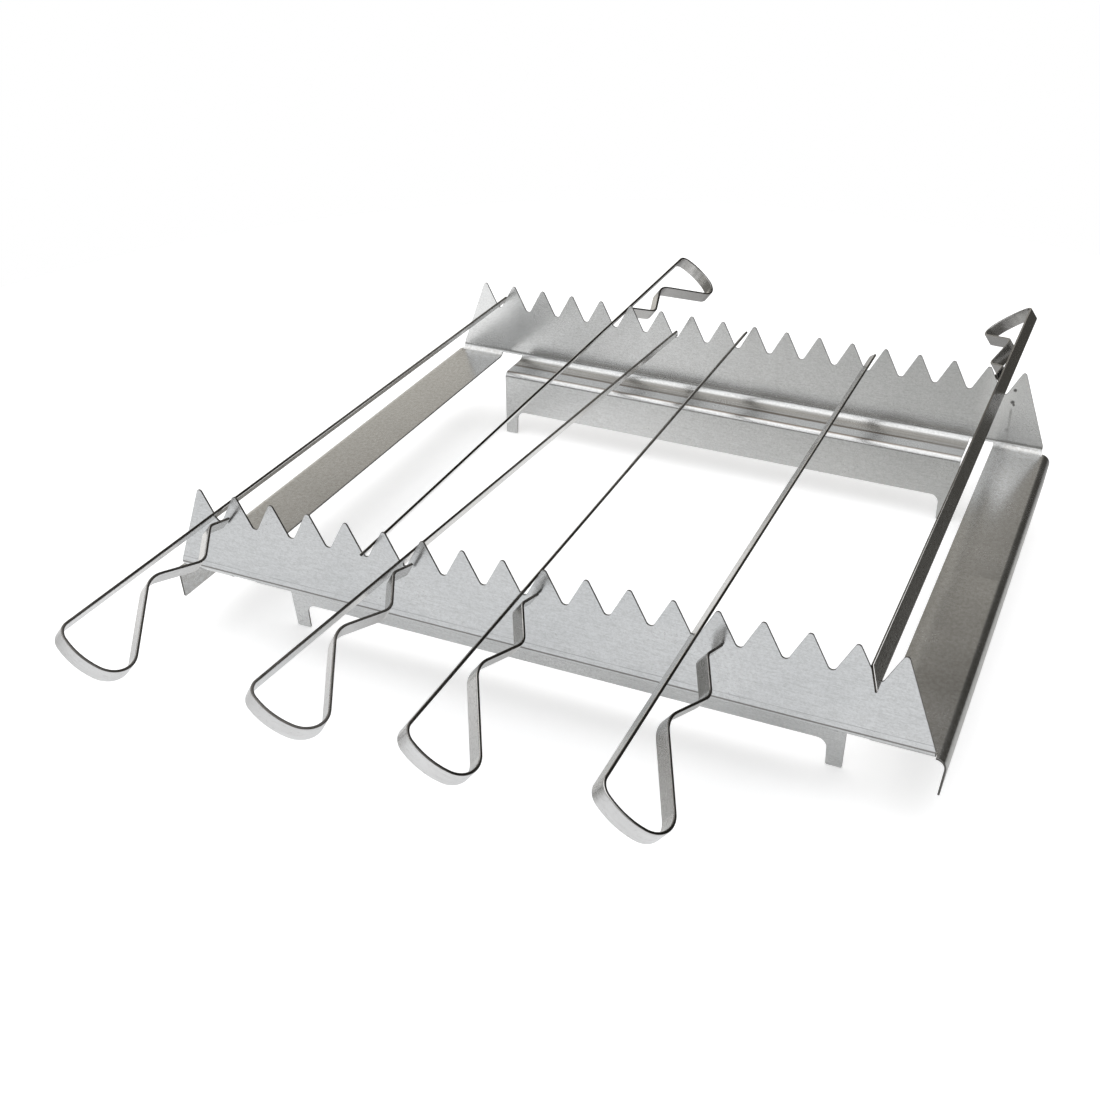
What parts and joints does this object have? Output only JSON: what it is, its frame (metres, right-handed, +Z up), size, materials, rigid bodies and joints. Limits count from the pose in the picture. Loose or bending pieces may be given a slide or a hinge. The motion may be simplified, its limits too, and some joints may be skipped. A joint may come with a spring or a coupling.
{
  "type": "barbecue skewer rack",
  "caption": "Barbecue skewer rack: folded stainless sheet frame with toothed front and back walls, carrying flat strip skewers with bent loop handles.",
  "frame": {"origin": "bottom centre of the bounding box of rack and skewers, on the ground under the leg feet", "axes": "+Z up out of the teeth; +Y from the front toothed wall, where most handles are, to the back wall; +X along the toothed walls to the right"},
  "size_m": [0.478, 0.6752, 0.1094],
  "materials": {
    "sheet_steel": "satin rolled stainless sheet, fine grain, bright folds",
    "strip_steel": "darker satin stainless strip with sheared edges"
  },
  "bodies": {
    "rack": {"rack_frame": "sheet_steel"},
    "skewer_1": {"skewer_1": "strip_steel"},
    "skewer_2": {"skewer_2": "strip_steel"},
    "skewer_3": {"skewer_3": "strip_steel"},
    "skewer_4": {"skewer_4": "strip_steel"},
    "skewer_5": {"skewer_5": "strip_steel"},
    "skewer_6": {"skewer_6": "strip_steel"}
  },
  "joints": [
    {"name": "skewer_1_lift", "type": "slide", "parent": "rack", "child": "skewer_1", "axis": [0, 0, 1], "range_m": [0, 0.08]},
    {"name": "skewer_2_lift", "type": "slide", "parent": "rack", "child": "skewer_2", "axis": [0, 0, 1], "range_m": [0, 0.08]},
    {"name": "skewer_3_lift", "type": "slide", "parent": "rack", "child": "skewer_3", "axis": [0, 0, 1], "range_m": [0, 0.08]},
    {"name": "skewer_4_lift", "type": "slide", "parent": "rack", "child": "skewer_4", "axis": [0, 0, 1], "range_m": [0, 0.08]},
    {"name": "skewer_5_lift", "type": "slide", "parent": "rack", "child": "skewer_5", "axis": [0, 0, 1], "range_m": [0, 0.08]},
    {"name": "skewer_6_lift", "type": "slide", "parent": "rack", "child": "skewer_6", "axis": [0, 0, 1], "range_m": [0, 0.08]}
  ]
}
